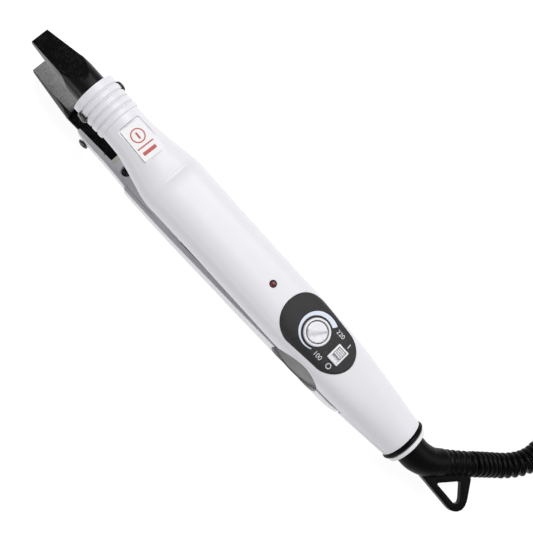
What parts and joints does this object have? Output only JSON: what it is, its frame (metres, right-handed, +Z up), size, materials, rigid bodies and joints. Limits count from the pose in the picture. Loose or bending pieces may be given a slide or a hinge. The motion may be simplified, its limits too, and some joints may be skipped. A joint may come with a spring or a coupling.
{
  "type": "hand-held heat sealing tongs",
  "caption": "Tong-shaped hand heat sealer with two heated jaw bars, a sprung lever arm, a dial, a slide switch and a curly mains cord.",
  "frame": {"origin": "on the flat underside of the lever, straight below the hinge axis", "axes": "+X from the hinge to the jaws, +Y to the left side seen from behind, +Z up from the table"},
  "size_m": [0.3875, 0.0976, 0.0556],
  "materials": {
    "white_shell": "moulded, slightly glossy",
    "white_trim": "glossy",
    "panel_grey": "satin with fine grain",
    "red_lens": "glossy dome",
    "board_green": "lacquered board",
    "steel": "bright",
    "black_plastic": "matte",
    "coated_metal": "non-stick coating with fine speckle",
    "mica": "matte",
    "lead_sleeve": "braided sleeve",
    "black_rubber": "satin",
    "black_cord": "satin",
    "label": "matt film",
    "ceramic": "unglazed",
    "cap_grey": "brushed print, dark rim",
    "screw_black": "black oxide",
    "plug_metal": "bright nickel"
  },
  "bodies": {
    "handle": {"upper_shell": "white_shell", "lower_cover": "white_shell", "control_panel": "panel_grey", "knob_bezel": "white_trim", "switch_bezel": "white_trim", "led_lens": "red_lens", "circuit_board": "board_green", "potentiometer": "steel", "switch_body": "black_plastic", "upper_jaw_bar": "coated_metal", "upper_heater": "steel", "upper_mica_sleeve": "mica", "upper_lead": "lead_sleeve", "mains_lead": "black_cord", "label_plate": "label", "rear_o_ring": "black_rubber", "pivot_pin": "steel", "return_spring": "steel", "upper_clamp_screw_left": "screw_black", "upper_clamp_screw_right": "screw_black"},
    "lever": {"lower_clamp_screw_left": "screw_black", "lower_clamp_screw_right": "screw_black", "holder_screw_left": "screw_black", "holder_screw_right": "screw_black", "hinge_plate_left": "steel", "hinge_plate_right": "steel", "pivot_cap_left": "cap_grey", "pivot_cap_right": "cap_grey", "lever_shell": "white_shell", "lever_inner_cover": "white_shell", "lever_liner": "black_plastic", "lower_jaw_bar": "coated_metal", "lower_heater": "steel", "ceramic_bush": "ceramic", "lower_lead": "lead_sleeve"},
    "knob": {"temperature_knob": "white_trim"},
    "switch": {"switch_slider": "white_trim"},
    "cord": {"swivel_collar": "white_trim", "strain_relief_elbow": "black_rubber", "curly_cord": "black_cord", "cord_tail": "black_cord", "plug_body": "black_plastic", "plug_pin_left": "plug_metal", "plug_pin_right": "plug_metal"}
  },
  "joints": [
    {"name": "lever_hinge", "type": "hinge", "parent": "handle", "child": "lever", "pos_m": [0, 0, 0.02042], "axis": [0, -1, 0], "range_deg": [0, 10.1], "stiffness_Nm_per_rad": 1.2, "springref_deg": -20.05},
    {"name": "knob_turn", "type": "hinge", "parent": "handle", "child": "knob", "pos_m": [0.00606, 0, 0.03957], "axis": [-0.0924, 0, 0.9957], "range_deg": [0, 250]},
    {"name": "switch_slide", "type": "slide", "parent": "handle", "child": "switch", "axis": [0, 1, 0], "range_m": [0, 0.002]},
    {"name": "cord_swivel", "type": "hinge", "parent": "handle", "child": "cord", "pos_m": [-0.0561, 0, 0.01894], "axis": [-0.9957, 0, -0.0924], "continuous": true}
  ]
}
